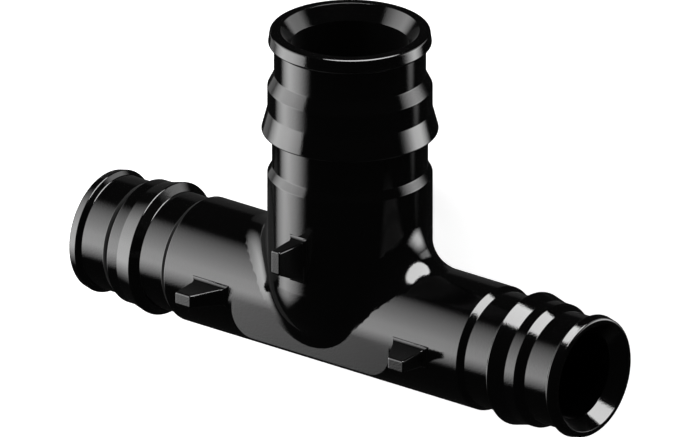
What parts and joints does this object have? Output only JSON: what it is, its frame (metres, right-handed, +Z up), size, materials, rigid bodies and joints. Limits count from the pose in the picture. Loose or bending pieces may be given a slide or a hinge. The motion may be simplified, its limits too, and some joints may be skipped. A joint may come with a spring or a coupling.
{
  "type": "pex reducing tee",
  "caption": "Moulded plastic pipe tee with barbed arms for expanded PEX pipe: an equal run and a larger branch, with stop tabs and a filleted, domed junction.",
  "frame": {"origin": "where the axis of the run and the axis of the branch cross", "axes": "+X along the run, +Z up as the tee lies on its rear stop tabs; the branch points along +Y and 16 degrees up"},
  "size_m": [0.0962, 0.058, 0.0393],
  "materials": {
    "black_plastic": "gloss"
  },
  "bodies": {
    "root": {"tee_body": "black_plastic"}
  },
  "joints": []
}
